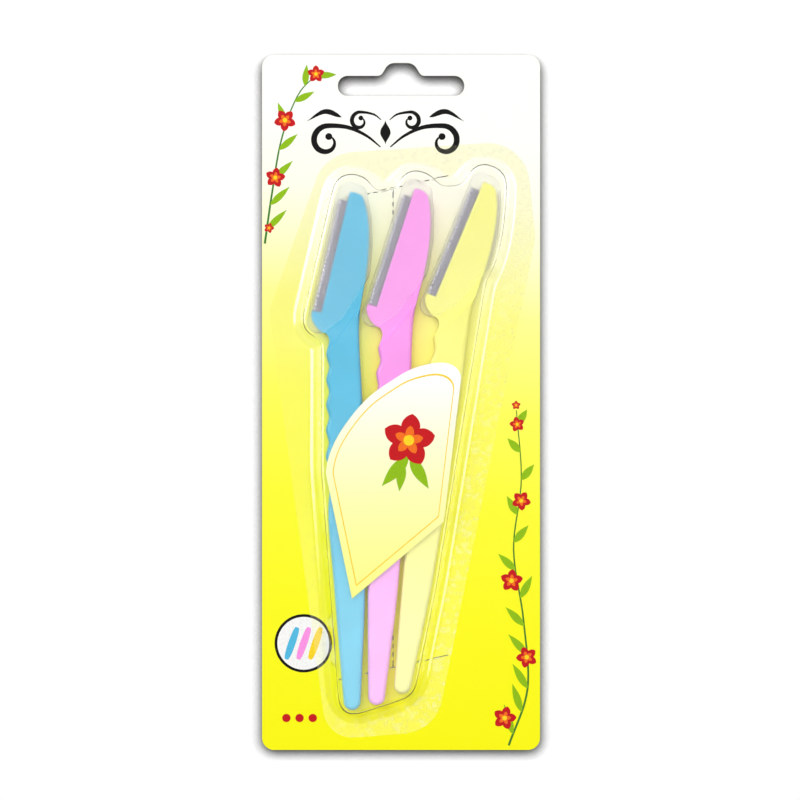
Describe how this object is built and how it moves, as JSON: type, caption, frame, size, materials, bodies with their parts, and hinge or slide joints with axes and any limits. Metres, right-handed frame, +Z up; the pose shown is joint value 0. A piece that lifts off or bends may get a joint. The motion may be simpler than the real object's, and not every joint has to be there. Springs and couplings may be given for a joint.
{
  "type": "carded eyebrow razor set",
  "caption": "Hang card with capped eyebrow razors fanned under a clear sealed blister, a fan-shaped label on its roof and tear-open flaps in the card's back",
  "frame": {"origin": "the seat of the peg: the top of the hang slot's hump, on the card's back face, in the middle of the card's width", "axes": "+Z up the card as it hangs, +X to the right as seen from the front, the printed front faces -Y"},
  "size_m": [0.08, 0.006, 0.2],
  "materials": {
    "printed_card": "coated paperboard, printed on the front, white at the top running to yellow at the foot",
    "clear_sheet": "clear thermoformed sheet with a mottled heat seal on its flange",
    "label_paper": "coated label paper, white running to pale yellow",
    "blue_plastic": "satin moulded plastic, sky blue",
    "pink_plastic": "satin moulded plastic, pink",
    "yellow_plastic": "satin moulded plastic, pale yellow",
    "blade_steel": "ground stainless strip",
    "guard_steel": "thin stainless sheet, folded and slotted",
    "cap_plastic": "clear moulded plastic, slightly frosted"
  },
  "bodies": {
    "pack": {"backing_card": "printed_card", "blister_shell": "clear_sheet", "label_sticker": "label_paper"},
    "left_flap": {"left_flap": "printed_card"},
    "right_flap": {"right_flap": "printed_card"},
    "blue_razor": {"blue_handle": "blue_plastic", "blue_blade": "blade_steel", "blue_guard": "guard_steel"},
    "blue_cap": {"blue_cap": "cap_plastic"},
    "pink_razor": {"pink_handle": "pink_plastic", "pink_blade": "blade_steel", "pink_guard": "guard_steel"},
    "pink_cap": {"pink_cap": "cap_plastic"},
    "yellow_razor": {"yellow_handle": "yellow_plastic", "yellow_blade": "blade_steel", "yellow_guard": "guard_steel"},
    "yellow_cap": {"yellow_cap": "cap_plastic"}
  },
  "joints": [
    {"name": "left_flap_fold", "type": "hinge", "parent": "pack", "child": "left_flap", "pos_m": [-0.0181, 0, -0.105], "axis": [0, 0, 1], "range_deg": [0, 165]},
    {"name": "right_flap_fold", "type": "hinge", "parent": "pack", "child": "right_flap", "pos_m": [0.0135, 0, -0.105], "axis": [0, 0, -1], "range_deg": [0, 165]},
    {"name": "blue_razor_play", "type": "slide", "parent": "pack", "child": "blue_razor", "axis": [0.0035, 0, 1], "range_m": [0, 0.001]},
    {"name": "blue_cap_slide", "type": "slide", "parent": "blue_razor", "child": "blue_cap", "axis": [0.2292, 0, 0.9734], "range_m": [0, 0.001]},
    {"name": "pink_razor_play", "type": "slide", "parent": "pack", "child": "pink_razor", "axis": [0.0828, 0, 0.9966], "range_m": [0, 0.001]},
    {"name": "pink_cap_slide", "type": "slide", "parent": "pink_razor", "child": "pink_cap", "axis": [0.3057, 0, 0.9521], "range_m": [0, 0.001]},
    {"name": "yellow_razor_play", "type": "slide", "parent": "pack", "child": "yellow_razor", "axis": [0.1668, 0, 0.986], "range_m": [0, 0.001]},
    {"name": "yellow_cap_slide", "type": "slide", "parent": "yellow_razor", "child": "yellow_cap", "axis": [0.3851, 0, 0.9229], "range_m": [0, 0.001]}
  ]
}
